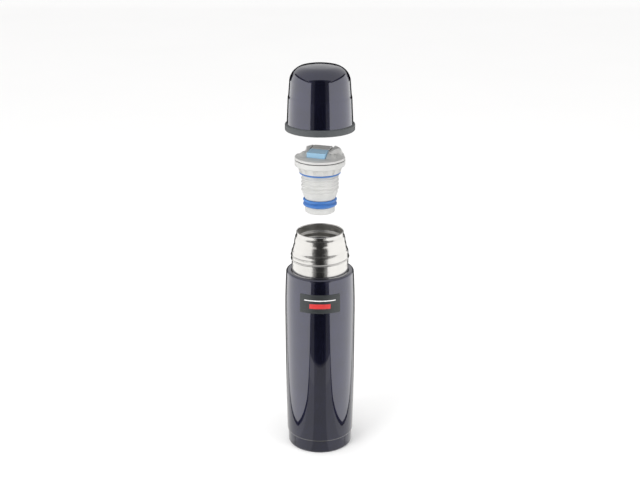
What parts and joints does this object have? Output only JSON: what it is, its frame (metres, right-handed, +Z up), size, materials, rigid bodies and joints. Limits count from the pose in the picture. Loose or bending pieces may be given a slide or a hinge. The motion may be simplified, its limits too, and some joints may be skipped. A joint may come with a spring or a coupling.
{
  "type": "vacuum flask",
  "caption": "Slim steel vacuum flask shown taken apart: painted barrel with bare threaded neck, push-button pouring stopper with seals, and domed screw-on drinking cup.",
  "frame": {"origin": "centre of the foot ring on the surface that the flask stands on", "axes": "+Z up along the axis of the flask, the stopper and the cup; -Y is the front, where the badge plate is"},
  "size_m": [0.07, 0.0702, 0.395],
  "materials": {
    "paint": "gloss metallic midnight blue lacquer",
    "neck_steel": "satin spun stainless steel",
    "vessel_steel": "electropolished stainless steel",
    "copper_foil": "bright copper foil",
    "getter_metal": "sintered metal",
    "braze": "brazed bead",
    "badge": "satin dark grey print plate",
    "light_plastic": "satin moulded light grey polypropylene",
    "black_gasket": "matte",
    "foam": "fine foam",
    "blue_silicone": "satin silicone",
    "dark_plastic": "satin moulded dark grey",
    "spring_steel": "bright wire",
    "blue_plastic": "satin moulded sky blue",
    "liner_plastic": "gloss moulded charcoal"
  },
  "bodies": {
    "flask": {"outer_shell": "paint", "neck_collar": "neck_steel", "inner_vessel": "vessel_steel", "foil_wrap": "copper_foil", "outer_bottom": "vessel_steel", "getter": "getter_metal", "vacuum_plug": "braze", "base_cap": "paint", "badge_plate": "badge"},
    "stopper_seals": {"upper_seal": "blue_silicone", "lower_seal": "blue_silicone"},
    "stopper": {"stopper_body": "light_plastic", "stopper_core": "light_plastic", "stopper_cover": "light_plastic", "seam_gasket": "black_gasket", "deck_plate": "light_plastic", "stopper_insulation": "foam", "valve_seat": "light_plastic", "stem_seal": "blue_silicone", "key_pin": "spring_steel", "valve_spring": "spring_steel"},
    "button": {"release_button": "blue_plastic"},
    "valve": {"valve_stem": "dark_plastic", "valve_seal": "blue_silicone"},
    "key": {"close_key": "light_plastic"},
    "cup_ring": {"cup_rim": "dark_plastic"},
    "cup": {"cup_shell": "paint", "cup_liner": "liner_plastic"}
  },
  "joints": [
    {"name": "stopper_lift", "type": "slide", "parent": "flask", "child": "stopper_seals", "axis": [0, 0, 1], "range_m": [-0.067, 0]},
    {"name": "stopper_turn", "type": "hinge", "parent": "stopper_seals", "child": "stopper", "pos_m": [0, 0, 0.297], "axis": [0, 0, 1], "range_deg": [-450, 0]},
    {"name": "button_press", "type": "slide", "parent": "stopper", "child": "button", "axis": [0, 0, -1], "range_m": [0, 0.0025], "stiffness_N_per_m": 400, "springref_m": -0.0025},
    {"name": "valve_open", "type": "slide", "parent": "stopper", "child": "valve", "axis": [0, 0, -1], "range_m": [0, 0.0025], "deforming": ["valve_spring"]},
    {"name": "key_press", "type": "hinge", "parent": "stopper", "child": "key", "pos_m": [0.00388, 0.0165, 0.3075], "axis": [0.9397, -0.342, 0], "range_deg": [0, 5], "stiffness_Nm_per_rad": 0.05, "springref_deg": -11.46},
    {"name": "cup_lift", "type": "slide", "parent": "stopper_seals", "child": "cup_ring", "axis": [0, 0, 1], "range_m": [-0.075, 0]},
    {"name": "cup_turn", "type": "hinge", "parent": "cup_ring", "child": "cup", "pos_m": [0, 0, 0.332], "axis": [0, 0, 1], "range_deg": [-540, 0]}
  ],
  "couplings": [
    {"joint": "valve_open", "follows": "button_press", "ratio": 1}
  ]
}
